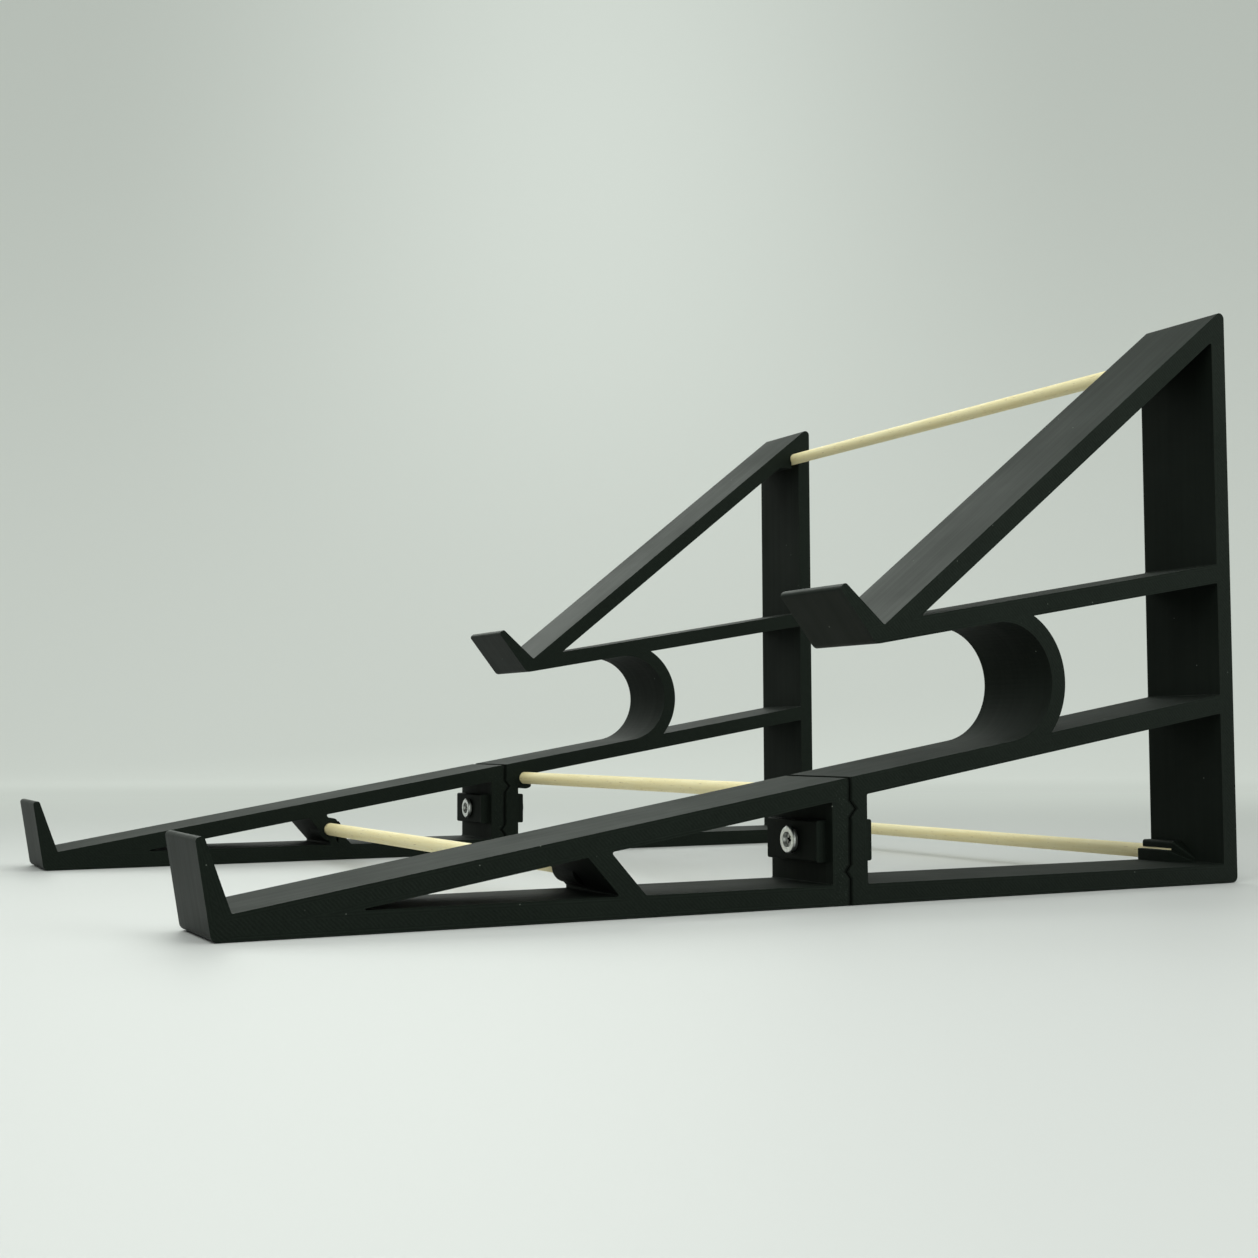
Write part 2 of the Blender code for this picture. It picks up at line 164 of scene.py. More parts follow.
# how deep a point of a side face lies inside the outline, in millimetres
def makeOutlineGroup(values):
    tree, vector, result = newGroup("outlineDepth", ["Depth", "Y", "Z", "Seam", "Polish"])
    place = splitUp(tree, vector)
    y = calc(tree, "SUBTRACT", calc(tree, "MULTIPLY", place[1], perMetre), values["frontY"])
    z = calc(tree, "MULTIPLY", place[2], perMetre)

    # distance past a line through a point, square to the line's direction
    def past(point, degrees):
        a = math.radians(degrees)
        offset = -point[0] * math.cos(a) - point[1] * math.sin(a)
        across = calc(tree, "MULTIPLY_ADD", y, math.cos(a), offset)
        return calc(tree, "MULTIPLY_ADD", z, math.sin(a), across)

    def strip(point, degrees, width):
        w = past(point, degrees)
        return calc(tree, "MINIMUM", w, calc(tree, "SUBTRACT", width, w))

    def only(depth, coordinate, test, limit):
        keep = calc(tree, test, coordinate, limit)
        return calc(tree, "MULTIPLY_ADD", calc(tree, "SUBTRACT", keep, 1.0), values["farOff"], depth)

    bar = values["bar"]
    slope = values["shelfSlope"]
    cosSlope = math.cos(math.radians(slope))
    tierDrop = values["slot"] + 2 * bar
    slotBar = strip((0.0, bar + (tierDrop - bar - bar) / cosSlope), 90.0 + slope, bar)
    upperShelf = strip(values["apex"], -90.0 + values["upperSlope"], bar)
    upperShelf = only(upperShelf, z, "GREATER_THAN", values["upperFrom"])
    braceY, braceLean = values["brace"]
    brace = strip((braceY, bar), 90.0 - braceLean, bar)
    bars = [
        strip((0.0, 0.0), 90.0, bar),
        strip((0.0, bar - bar / cosSlope), 90.0 + slope, bar),
        only(slotBar, y, "GREATER_THAN", values["slotBarFrom"]),
        upperShelf,
        only(brace, y, "LESS_THAN", values["braceUntil"]),
    ]
    for start, top in values["posts"]:
        bars.append(only(strip((start, 0.0), 0.0, bar), z, "LESS_THAN", top))
    turnY, turnZ, inner, wall = values["turn"]
    reach = lengthOf(tree, calc(tree, "SUBTRACT", y, turnY), calc(tree, "SUBTRACT", z, turnZ))
    ring = calc(tree, "SUBTRACT", reach, inner)
    ring = calc(tree, "MINIMUM", ring, calc(tree, "SUBTRACT", wall, ring))
    bars.append(only(ring, y, "GREATER_THAN", turnY))

    # the upper shelf is smoothest at its low end, and the lips all over
    polish = calc(tree, "MULTIPLY", calc(tree, "GREATER_THAN", upperShelf, values["handledSkin"]),
                  remap(tree, z, *values["handled"], *values["handledPolish"]))
    for name in ("lowerLip", "upperLip"):
        lipY, lipZ, lean, draft, root = values[name]
        base = (lipY, lipZ)
        if name == "lowerLip":
            front = past(base, lean)
            back = calc(tree, "SUBTRACT", root + values["lipBack"], past(base, lean + draft))
            bars.append(calc(tree, "MINIMUM", front, back))
        else:
            front = calc(tree, "ADD", past(base, lean), root)
            back = calc(tree, "MULTIPLY", past(base, lean + draft), -1.0)
            bars.append(only(calc(tree, "MINIMUM", front, back), z, "GREATER_THAN", lipZ))
        near = remap(tree, past(base, lean), *values["lipFade"], 1.0, 0.0, True)
        near = calc(tree, "MULTIPLY", near, calc(tree, "GREATER_THAN", z, values["lipsAbove"][name]))
        polish = calc(tree, "MAXIMUM", polish, near)
    depth = bars[0]
    for other in bars[1:]:
        depth = calc(tree, "MAXIMUM", depth, other)

    # distance behind the split between the halves, which follows its two V keys
    seam = calc(tree, "SUBTRACT", y, values["split"])
    for height, half, tall in values["keys"]:
        away = calc(tree, "ABSOLUTE", calc(tree, "SUBTRACT", z, height))
        seam = calc(tree, "SUBTRACT", seam, remap(tree, away, 0.0, half, tall, 0.0))
    above = calc(tree, "GREATER_THAN", z, values["splitTop"])
    seam = calc(tree, "MULTIPLY_ADD", above, values["farOff"], seam)
    for label, value in (("Depth", depth), ("Y", y), ("Z", z), ("Seam", seam), ("Polish", polish)):
        tree.links.new(value, result[label])
    return tree


# lengths in millimetres; a noise is its scale, detail and roughness, with squeeze and shift
# before them where it is drawn out
printing = {
    "facing": (0.6, 0.8),
    "drift": (260.0, 2.0, 0.5),
    "lineWidth": 0.95,
    "lineWander": 0.35,
    "lineTone": 0.13,
    "lineHeight": 0.25,
    "wallDepth": 1.9,
    "wallFade": (0.3, 0.2),
    "hatchPitch": 1.1,
    "hatchWander": 1.6,
    "diagonal": 1.414,
    "fleck": (900.0, 3.0, 0.6),
    "layer": 0.28,
    "layerHeight": 0.008,
    "streak": ((1.0, 0.012, 0.012), (0, 0, 0), 2600.0, 3.0, 0.65),
    "broad": ((1.0, 0.03, 0.03), (0, 0, 0), 420.0, 2.0, 0.5),
    "broadHeight": 0.10,
    "edgeTone": 0.30,
    "seamWidth": (0.25, 1.5),
    "seamWander": 1.1,
    "seamDrop": 4.5,
    "scuffed": (-9.0, -1.5),
    "scuffFade": (5.0, 1.2),
    "scuff": (1300.0, 4.0, 0.7),
    "scuffOver": (0.58, 0.70),
    "blotch": (28.0, 3.0, 0.55),
}


# printed surfaces: walls laid along the outline with strokes between them on the side faces,
# and fine layers stacked across the frame's width on every other face
def makePrintGroup(outline, values):
    outputs = ["Tone", "Height", "Side", "Blotch", "Seam", "Scuff", "Polish"]
    tree, vector, result = newGroup("printedSurface", outputs)
    shape = useGroup(tree, outline, vector)
    facing = splitUp(tree, tree.nodes.new("ShaderNodeNewGeometry").outputs["Normal"])
    side = remap(tree, calc(tree, "ABSOLUTE", facing[0]), *values["facing"], 0.0, 1.0)
    flat = calc(tree, "SUBTRACT", 1.0, side)

    drift = calc(tree, "SUBTRACT", noise(tree, vector, *values["drift"]), 0.5)
    depth = calc(tree, "MULTIPLY_ADD", drift, values["lineWander"], shape["Depth"])
    wall = calc(tree, "COSINE", calc(tree, "MULTIPLY", depth, math.tau / values["lineWidth"]))
    slant = calc(tree, "ADD", shape["Y"], shape["Z"])
    slant = calc(tree, "MULTIPLY_ADD", drift, values["hatchWander"], slant)
    hatchTurns = math.tau / values["hatchPitch"] / values["diagonal"]
    stroke = calc(tree, "COSINE", calc(tree, "MULTIPLY", slant, hatchTurns))
    wallDepth = values["wallDepth"]
    before, after = values["wallFade"]
    inside = remap(tree, shape["Depth"], wallDepth - before, wallDepth + after, 0.0, 1.0, True)
    faceLine = calc(tree, "ADD", calc(tree, "MULTIPLY", wall, calc(tree, "SUBTRACT", 1.0, inside)),
                    calc(tree, "MULTIPLY", stroke, inside))
    fleck = noise(tree, vector, *values["fleck"])
    faceTone = calc(tree, "MULTIPLY_ADD", faceLine, values["lineTone"], fleck)
    faceTone = calc(tree, "SUBTRACT", faceTone, 0.5)

    across = calc(tree, "MULTIPLY", splitUp(tree, vector)[0], perMetre)
    stack = calc(tree, "COSINE", calc(tree, "MULTIPLY", across, math.tau / values["layer"]))
    streak = grain(tree, vector, *values["streak"])
    broad = grain(tree, vector, *values["broad"])
    edgeTone = calc(tree, "ADD", calc(tree, "SUBTRACT", streak, 0.5), calc(tree, "SUBTRACT", broad, 0.5))
    edgeTone = calc(tree, "MULTIPLY", edgeTone, values["edgeTone"])
    broadHeight = calc(tree, "MULTIPLY", broad, values["broadHeight"])
    edgeHeight = calc(tree, "MULTIPLY_ADD", stack, values["layerHeight"], broadHeight)

    # the worn, rounded edges of the two halves where they meet, sunk by a bump and darkened with painted
    # shade in the plastic, and the scuffs in front of them
    gap = calc(tree, "ABSOLUTE", calc(tree, "MULTIPLY_ADD", drift, values["seamWander"], shape["Seam"]))
    seam = remap(tree, gap, *values["seamWidth"], 1.0, 0.0, True)
    start, end = values["scuffed"]
    fadeIn, fadeOut = values["scuffFade"]
    zone = calc(tree, "MINIMUM", remap(tree, shape["Seam"], start, start + fadeIn, 0.0, 1.0),
                remap(tree, shape["Seam"], end, end + fadeOut, 1.0, 0.0))
    scratches = remap(tree, noise(tree, vector, *values["scuff"]), *values["scuffOver"], 0.0, 1.0)
    scuff = calc(tree, "MULTIPLY", zone, scratches)

    tone = calc(tree, "ADD", calc(tree, "MULTIPLY", faceTone, side),
                calc(tree, "MULTIPLY", edgeTone, flat))
    faceHeight = calc(tree, "MULTIPLY", calc(tree, "MULTIPLY", faceLine, side), values["lineHeight"])
    height = calc(tree, "ADD", faceHeight, calc(tree, "MULTIPLY", edgeHeight, flat))
    height = calc(tree, "SUBTRACT", height, calc(tree, "MULTIPLY", seam, values["seamDrop"]))
    tree.links.new(calc(tree, "ADD", tone, 0.5), result["Tone"])
    tree.links.new(height, result["Height"])
    tree.links.new(side, result["Side"])
    tree.links.new(noise(tree, vector, *values["blotch"]), result["Blotch"])
    tree.links.new(seam, result["Seam"])
    tree.links.new(calc(tree, "MULTIPLY", scuff, side), result["Scuff"])
    tree.links.new(shape["Polish"], result["Polish"])
    return tree


dusting = {"scale": 420.0, "amount": 0.01, "grain": (0.05, 0.14)}


# a few pale grains of dust
def makeDustGroup(values):
    tree, vector, result = newGroup("dust", ["Mask"])
    cells = tree.nodes.new("ShaderNodeTexVoronoi")
    cells.inputs["Scale"].default_value = values["scale"]
    tree.links.new(vector, cells.inputs["Vector"])
    colour = tree.nodes.new("ShaderNodeSeparateColor")
    tree.links.new(cells.outputs["Color"], colour.inputs[0])
    chosen = calc(tree, "LESS_THAN", colour.outputs[0], values["amount"])
    near = remap(tree, cells.outputs["Distance"], *values["grain"], 1.0, 0.0)
    size = calc(tree, "MULTIPLY", near, colour.outputs[1])
    tree.links.new(calc(tree, "MULTIPLY", size, chosen), result["Mask"])
    return tree


outlineGroup = makeOutlineGroup(profile)
printGroup = makePrintGroup(outlineGroup, printing)
dustGroup = makeDustGroup(dusting)


def newMaterial(name):
    material = bpy.data.materials.new(name)
    material.use_nodes = True
    tree = material.node_tree
    shader = next(node for node in tree.nodes if node.type == "BSDF_PRINCIPLED")
    place = tree.nodes.new("ShaderNodeTexCoord").outputs["Object"]
    return material, tree, shader, place


def addBump(tree, shader, height, distance, strength):
    bump = tree.nodes.new("ShaderNodeBump")
    bump.inputs["Distance"].default_value = distance
    bump.inputs["Strength"].default_value = strength
    tree.links.new(height, bump.inputs["Height"])
    tree.links.new(bump.outputs["Normal"], shader.inputs["Normal"])


# bump is distance and strength, here and in the wood and the steel
plasticLook = {
    "dark": (0.0014, 0.0020, 0.0015, 1.0),
    "pale": (0.0053, 0.0072, 0.0056, 1.0),
    "shadow": (0.0002, 0.0003, 0.0002, 1.0),
    "scuff": (0.045, 0.055, 0.046, 1.0),
    "scuffAmount": 0.5,
    "dust": (0.22, 0.24, 0.21, 1.0),
    "blotchAmount": 0.5,
    "specular": 0.125,
    "specularTint": (0.78, 1.0, 0.83, 1.0),
    "toneSpan": (0.2, 0.8),
    "faceRoughness": (0.60, 0.46),
    "edgeRoughness": (0.79, 0.59),
    "seamRoughness": 0.4,
    "polish": 0.17,
    "bump": (0.00012, 0.55),
}


def makePlastic(look):
    material, tree, shader, place = newMaterial("printedPlastic")
    surface = useGroup(tree, printGroup, place)
    dust = useGroup(tree, dustGroup, place)
    blotch = calc(tree, "SUBTRACT", surface["Blotch"], 0.5)
    tone = calc(tree, "MULTIPLY_ADD", blotch, look["blotchAmount"], surface["Tone"], clamp=True)
    colour = mixColour(tree, tone, look["dark"], look["pale"])
    colour = mixColour(tree, dust["Mask"], colour, look["dust"])
    scuff = calc(tree, "MULTIPLY", surface["Scuff"], look["scuffAmount"])
    colour = mixColour(tree, scuff, colour, look["scuff"])
    # painted shade: the band along the seam between the halves is darkened towards the shadow colour
    colour = mixColour(tree, surface["Seam"], colour, look["shadow"])
    tree.links.new(colour, shader.inputs["Base Color"])
    faceRough = remap(tree, tone, *look["toneSpan"], *look["faceRoughness"])
    edgeRough = remap(tree, tone, *look["toneSpan"], *look["edgeRoughness"])
    polish = calc(tree, "MULTIPLY", surface["Polish"], look["polish"])
    edgeRough = calc(tree, "SUBTRACT", edgeRough, polish)
    rough = calc(tree, "ADD", calc(tree, "MULTIPLY", faceRough, surface["Side"]),
                 calc(tree, "MULTIPLY", edgeRough, calc(tree, "SUBTRACT", 1.0, surface["Side"])))
    rough = calc(tree, "MULTIPLY_ADD", surface["Seam"], look["seamRoughness"], rough, clamp=True)
    tree.links.new(rough, shader.inputs["Roughness"])
    shader.inputs["Specular IOR Level"].default_value = look["specular"]
    shader.inputs["Specular Tint"].default_value = look["specularTint"]
    addBump(tree, shader, surface["Height"], *look["bump"])
    return material


woodLook = {
    "pale": (0.94, 0.85, 0.54, 1.0),
    "warm": (0.90, 0.77, 0.42, 1.0),
    "pore": (0.60, 0.46, 0.27, 1.0),
    "fibre": ((0.045, 1.0, 1.0), (0, 0, 0), 1500.0, 4.0, 0.6),
    "band": ((0.02, 1.0, 1.0), (3.1, 0.4, 0.7), 380.0, 2.0, 0.5),
    "pores": ((0.10, 1.0, 1.0), (7.7, 1.3, 2.9), 2600.0, 1.0, 0.5),
    "patch": ((0.4, 1.0, 1.0), (5.3, 2.2, 1.9), 75.0, 2.0, 0.5),
    "weights": (0.38, 0.38, 0.24),
    "toneSpan": (0.38, 0.62),
    "poreSpan": (0.66, 0.76),
    "poreAmount": 0.75,
    "roughSpan": (0.3, 0.7),
    "roughness": (0.46, 0.66),
    "specular": 0.35,
    "bump": (0.00006, 0.6),
}


# turned birch: long fibres, soft bands and patches, and short dark pores along the rod
def makeWood(look):
    material, tree, shader, place = newMaterial("turnedWood")
    fibre = grain(tree, place, *look["fibre"])
    band = grain(tree, place, *look["band"])
    pores = grain(tree, place, *look["pores"])
    patch = grain(tree, place, *look["patch"])
    ofFibre, ofBand, ofPatch = look["weights"]
    tone = calc(tree, "ADD", calc(tree, "MULTIPLY", fibre, ofFibre), calc(tree, "MULTIPLY", band, ofBand))
    tone = calc(tree, "MULTIPLY_ADD", patch, ofPatch, tone)
    tone = remap(tree, tone, *look["toneSpan"], 0.0, 1.0)
    colour = mixColour(tree, tone, look["pale"], look["warm"])
    dark = remap(tree, pores, *look["poreSpan"], 0.0, look["poreAmount"])
    colour = mixColour(tree, dark, colour, look["pore"])
    tree.links.new(colour, shader.inputs["Base Color"])
    rough = remap(tree, fibre, *look["roughSpan"], *look["roughness"])
    tree.links.new(rough, shader.inputs["Roughness"])
    shader.inputs["Specular IOR Level"].default_value = look["specular"]
    addBump(tree, shader, calc(tree, "SUBTRACT", fibre, dark), *look["bump"])
    return material


steelLook = {
    "pale": (0.86, 0.87, 0.85, 1.0),
    "dull": (0.66, 0.67, 0.65, 1.0),
    "mottle": (900.0, 3.0, 0.6),
    "toneSpan": (0.35, 0.65),
    "scuff": ((1.0, 0.2, 0.4), (0, 0, 0), 2400.0, 2.0, 0.6),
    "roughSpan": (0.3, 0.7),
    "roughness": (0.30, 0.46),
    "boltX": 0.154,
    "boltZ": 0.0224,
    "ringWidth": 0.00035,
    "ringTone": 0.04,
    "ringHeight": 0.3,
    # painted shade for the floor of the screw's recess
    "socket": (0.035, 0.037, 0.034, 1.0),
    "headY": (0.0087, 0.0092),
    "socketR": (0.0026, 0.0028),
    "bump": (0.00003, 0.5),
}


# zinc-plated steel with turning rings about the bolt's line and a mottled plating
def makeSteel(look):
    material, tree, shader, place = newMaterial("platedSteel")
    x, y, z = splitUp(tree, place)
    reach = lengthOf(tree, calc(tree, "SUBTRACT", calc(tree, "ABSOLUTE", x), look["boltX"]),
                     calc(tree, "SUBTRACT", z, look["boltZ"]))
    rings = calc(tree, "COSINE", calc(tree, "MULTIPLY", reach, math.tau / look["ringWidth"]))
    mottle = noise(tree, place, *look["mottle"])
    scuff = grain(tree, place, *look["scuff"])
    tone = calc(tree, "ADD", mottle, calc(tree, "MULTIPLY", rings, look["ringTone"]))
    tone = remap(tree, tone, *look["toneSpan"], 0.0, 1.0)
    colour = mixColour(tree, tone, look["dull"], look["pale"])
    # painted shade darkens the floor of the screw's recess
    deep = calc(tree, "MULTIPLY", remap(tree, y, *look["headY"], 0.0, 1.0),
                remap(tree, reach, *look["socketR"], 1.0, 0.0))
    tree.links.new(mixColour(tree, deep, colour, look["socket"]), shader.inputs["Base Color"])
    rough = remap(tree, scuff, *look["roughSpan"], *look["roughness"])
    tree.links.new(rough, shader.inputs["Roughness"])
    shader.inputs["Metallic"].default_value = 1.0
    addBump(tree, shader, calc(tree, "MULTIPLY_ADD", rings, look["ringHeight"], scuff), *look["bump"])
    return material


plastic = makePlastic(plasticLook)
wood = makeWood(woodLook)
steel = makeSteel(steelLook)
for name, node in cadNodes.items():
    if "frame" in name:
        node.material_slots[0].material = plastic
    elif "rod" in name:
        node.material_slots[0].material = wood
print("materials made")


# a bmesh becomes a finished piece in place of a CAD node
def finishPiece(bm, name, cadName, material, smooth=35):
    bmesh.ops.remove_doubles(bm, verts=bm.verts, dist=mergeWithin)
    bmesh.ops.recalc_face_normals(bm, faces=bm.faces)
    mesh = bpy.data.meshes.new(name)
    bm.to_mesh(mesh)
    bm.free()
    mesh.polygons.foreach_set("use_smooth", [True] * len(mesh.polygons))
    mesh.set_sharp_from_angle(angle=math.radians(smooth))
    mesh.materials.append(material)
    piece = bpy.data.objects.new(name, mesh)
    bpy.context.collection.objects.link(piece)
    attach(piece, "root")
    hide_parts(cadName)
    return piece


def spinFull(bm, geom, steps):
    bmesh.ops.spin(bm, geom=geom, cent=(0, 0, 0), axis=(0, 1, 0), dvec=(0, 0, 0),
                   angle=math.tau, steps=steps, use_merge=True, use_duplicate=False)


# a chain of points (radius, depth) turned full circle about the y axis
def turned(points, steps, closed=False):
    bm = bmesh.new()
    verts = [bm.verts.new((r, y, 0.0)) for r, y in points]
    edges = [bm.edges.new(pair) for pair in zip(verts[:-1], verts[1:])]
    if closed:
        edges.append(bm.edges.new((verts[-1], verts[0])))
    spinFull(bm, verts + edges, steps)
    bmesh.ops.remove_doubles(bm, verts=bm.verts, dist=mergeWithin)
    return bm


def moveToBolt(bm, side, depth=0):
    vec = (side * steelLook["boltX"], depth, steelLook["boltZ"])
    bmesh.ops.translate(bm, verts=bm.verts, vec=vec)


# one closed body cut by another, or kept only inside it; both are given as bmeshes
def cutBy(bm, cutter, operation="DIFFERENCE"):
    things = []
    for source in (bm, cutter):
        bmesh.ops.recalc_face_normals(source, faces=source.faces)
        mesh = bpy.data.meshes.new("cutWork")
        source.to_mesh(mesh)
        source.free()
        thing = bpy.data.objects.new("cutWork", mesh)
        bpy.context.collection.objects.link(thing)
        things.append(thing)
    body, tool = things
    cut = body.modifiers.new("cut", "BOOLEAN")
    cut.operation = operation
    cut.solver = "EXACT"
    cut.object = tool
    bpy.context.view_layer.update()
    shaped = bpy.data.meshes.new_from_object(body.evaluated_get(bpy.context.evaluated_depsgraph_get()))
    result = bmesh.new()
    result.from_mesh(shaped)
    for thing in things:
        bpy.data.objects.remove(thing)
    bpy.data.meshes.remove(shaped)
    return result


screwShape = {
    "steps": 64,
    "cadHead": 0.0030,
    "headR": 0.0049,
    "headTall": 0.0017,
    "headRim": 0.00012,
    "edgeR": 0.0007,
    "edgeSteps": 8,
    "shankR": 0.0025,
    "shankFoot": 0.00015,
    "plain": 0.006,
    "runOut": 0.0003,
    "tip": (0.0004, 0.0003),
    "pitch": 0.0008,
    "thread": 0.00042,
    "threadShort": 0.0007,
    "threadSteps": 20,
    "threadSunk": 0.0001,
    "threadBelow": 0.00002,
    "threadHalves": (0.44, 0.08),
    "bowlR": 0.0027,
    "bowlDepth": 0.0011,
    "bowlFoot": 0.0003,
    "bowlRim": (0.0002, 0.00015),
    "crossR": 0.0022,
    "crossWidth": 0.0011,
    "crossDepth": 0.0024,
    "crossAbove": 0.001,
    "crossTaper": (0.45, 0.7),
    "crossTurn": 0.35,
}


# one tapering wing of the cross recess
def crossWing(shape, headFront, turn):
    bm = bmesh.new()
    taperR, taperWidth = shape["crossTaper"]
    for v in bmesh.ops.create_cube(bm, size=1.0)["verts"]:
        deep = v.co.y > 0
        v.co.x *= shape["crossR"] * 2 * (taperR if deep else 1.0)
        v.co.z *= shape["crossWidth"] * (taperWidth if deep else 1.0)
        v.co.y = shape["crossDepth"] if deep else -shape["crossAbove"]
    bmesh.ops.rotate(bm, verts=bm.verts, cent=(0, 0, 0), matrix=Matrix.Rotation(turn, 3, "Y"))
    bmesh.ops.translate(bm, verts=bm.verts, vec=(0, headFront, 0))
    return bm


def makeScrew(word, side, shape):
    low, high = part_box("joint_screw_" + word)
    seat = low.y + shape["cadHead"]
    tip = high.y
    front = seat - shape["headTall"]
    threadStart = seat + shape["plain"]
    headR, edgeR, shankR, bowlR = (shape[key] for key in ("headR", "edgeR", "shankR", "bowlR"))
    core = shankR - shape["thread"]
    rimOut, rimIn = shape["bowlRim"]
    points = [
        (0.0, front + shape["bowlDepth"]),
        (bowlR - shape["bowlFoot"], front + shape["bowlDepth"]),
        (bowlR, front + rimIn),
        (bowlR + rimOut, front),
    ]
    for i in range(shape["edgeSteps"] + 1):
        a = math.radians(90 / shape["edgeSteps"] * i)
        points.append((headR - edgeR * (1 - math.sin(a)), front + edgeR * (1 - math.cos(a))))
    tipIn, tipBack = shape["tip"]
    points += [
        (headR, seat - shape["headRim"]),
        (headR - shape["headRim"], seat),
        (shankR + shape["shankFoot"], seat),
        (shankR, seat + shape["shankFoot"]),
        (shankR, threadStart - shape["runOut"]),
        (core, threadStart),
        (core, tip - tipBack),
        (core - tipIn, tip),
        (0.0, tip),
    ]
    bm = turned(points, shape["steps"])
    for turn in (shape["crossTurn"], shape["crossTurn"] + math.pi / 2):
        bm = cutBy(bm, crossWing(shape, front, turn))

    # one V of thread, spun with a rise, its two ends sunk into the core
    rise = shape["pitch"]
    turns = math.floor((tip - threadStart - shape["threadShort"]) / rise)
    crest = shankR - shape["threadBelow"]
    sunk = core - shape["threadSunk"]
    footHalf, crestHalf = shape["threadHalves"]
    ridge = [(sunk, -footHalf), (crest, -crestHalf), (crest, crestHalf), (sunk, footHalf)]
    first = [bm.verts.new((r, threadStart + rise * (0.5 + k), 0.0)) for r, k in ridge]
    face = bm.faces.new(first)
    steps = shape["threadSteps"] * turns
    dvec = (0, rise * turns / steps, 0)
    swept = bmesh.ops.spin(bm, geom=[face], cent=(0, 0, 0), axis=(0, 1, 0), dvec=dvec,
                           angle=math.tau * turns, steps=steps, use_merge=False, use_duplicate=False)
    lastFace = next(f for f in swept["geom_last"] if isinstance(f, bmesh.types.BMFace))
    for v in [*first, *lastFace.verts]:
        flatReach = math.hypot(v.co.x, v.co.z)
        v.co.x *= sunk / flatReach
        v.co.z *= sunk / flatReach
    moveToBolt(bm, side)
    return finishPiece(bm, "panScrew_" + word, "joint_screw_" + word, steel)


nutShape = {
    "steps": 72,
    "flats": 0.0080,
    "boreR": 0.00262,
    "boreEdge": 0.0003,
    "chamfer": 0.00045,
    "cornerIn": 0.00085,
    "cornerOut": 0.00004,
    "overTall": 1.02,
}


# a hexagon kept inside a turned, chamfered disc, as a nut's corners are
def makeNut(word, side, shape):
    low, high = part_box("joint_nut_" + word)
    tall = high.y - low.y
    half = tall / 2
    corner = shape["flats"] / math.sqrt(3)
    bm = bmesh.new()
    made = bmesh.ops.create_cone(bm, cap_ends=True, segments=6, radius1=corner, radius2=corner,
                                 depth=tall)["verts"]
    for axis in ("X", "Y"):
        quarter = Matrix.Rotation(math.pi / 2, 3, axis)
        bmesh.ops.rotate(bm, verts=made, cent=(0, 0, 0), matrix=quarter)
    bmesh.ops.scale(bm, verts=bm.verts, vec=(1.0, shape["overTall"], 1.0))
    bore = shape["boreR"]
    boreOut = bore + shape["boreEdge"]
    boreHalf = half - shape["boreEdge"]
    rim = corner + shape["cornerOut"]
    rimHalf = half - shape["chamfer"]
    faceR = corner - shape["cornerIn"]
    disc = turned([
        (boreOut, -half),
        (faceR, -half),
        (rim, -rimHalf),
        (rim, rimHalf),
        (faceR, half),
        (boreOut, half),
        (bore, boreHalf),
        (bore, -boreHalf),
    ], shape["steps"], closed=True)
    bm = cutBy(bm, disc, "INTERSECT")
    moveToBolt(bm, side, (low.y + high.y) / 2)
    return finishPiece(bm, "hexNut_" + word, "joint_nut_" + word, steel, 25)


washerShape = {"steps": 64, "outerR": 0.0050, "innerR": 0.0028, "edge": 0.00018}


def makeWasher(word, side, shape):
    low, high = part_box("joint_washer_" + word)
    inner, outer = shape["innerR"], shape["outerR"]
    corners = [(inner, low.y), (outer, low.y), (outer, high.y), (inner, high.y)]
    bm = bmesh.new()
    verts = [bm.verts.new((r, y, 0.0)) for r, y in corners]
    bm.faces.new(verts)
    bmesh.ops.bevel(bm, geom=verts, offset=shape["edge"], affect="VERTICES", segments=3, profile=0.5,
                    material=-1)
    section = list(bm.edges)
    bmesh.ops.delete(bm, geom=list(bm.faces), context="FACES_ONLY")
    spinFull(bm, list(bm.verts) + section, shape["steps"])
    moveToBolt(bm, side)
    return finishPiece(bm, "flatWasher_" + word, "joint_washer_" + word, steel)


for word, side in (("left", -1), ("right", 1)):
    makeScrew(word, side, screwShape)
    makeNut(word, side, nutShape)
    makeWasher(word, side, washerShape)
print("screws, nuts and washers made")


# what the camera, metal and glass see, apart from what lights the stand
def seenDirectly(tree):
    rays = tree.nodes.new("ShaderNodeLightPath")
    seen = calc(tree, "MAXIMUM", rays.outputs["Is Camera Ray"], rays.outputs["Is Glossy Ray"])
    return calc(tree, "MAXIMUM", seen, rays.outputs["Is Transmission Ray"])


# the first shader where the factor is 0, the second where it is 1
def blendShaders(tree, factor, first, second):
    blend = tree.nodes.new("ShaderNodeMixShader")
    for source, socket in zip((factor, first, second), blend.inputs):
        tree.links.new(source, socket)
    output = next(node for node in tree.nodes if node.type.startswith("OUTPUT"))
    tree.links.new(blend.outputs[0], output.inputs["Surface"])


stageLook = {
    "near": -2.2,
    "far": 1.5,
    "bend": 0.7,
    "bendSteps": 16,
    "height": 2.4,
    "width": 7.0,
    "under": 0.0002,
    "roughness": 0.55,
    "specular": 0.30,
    "floor": (0.64, 0.645, 0.645, 1.0),
    "floorShadedFar": (0.45, 0.46, 0.455, 1.0),
    "floorFade": (-0.35, 0.6),
    "wallBase": (0.85, 0.86, 0.85, 1.0),
    "wallStart": (1.0, 1.8),
    "wallGlow": 0.6,
    "wallLift": 1.34,
    "wallLow": (0.565, 0.612, 0.560, 1.0),
    "wallHigh": (0.680, 0.740, 0.680, 1.0),
    "wallEdge": (0.485, 0.530, 0.480, 1.0),
    "wallRise": (0.0, 1.2),
    "brightMiddle": -0.05,
    "brightHalf": (0.0, 0.9),
    "glowBehind": (0.05, 0.95),
    "glowAround": (0.7, 1.7),
    "fadeAcross": (1.3, 2.8),
    "fadeUp": (1.5, 2.3),
}


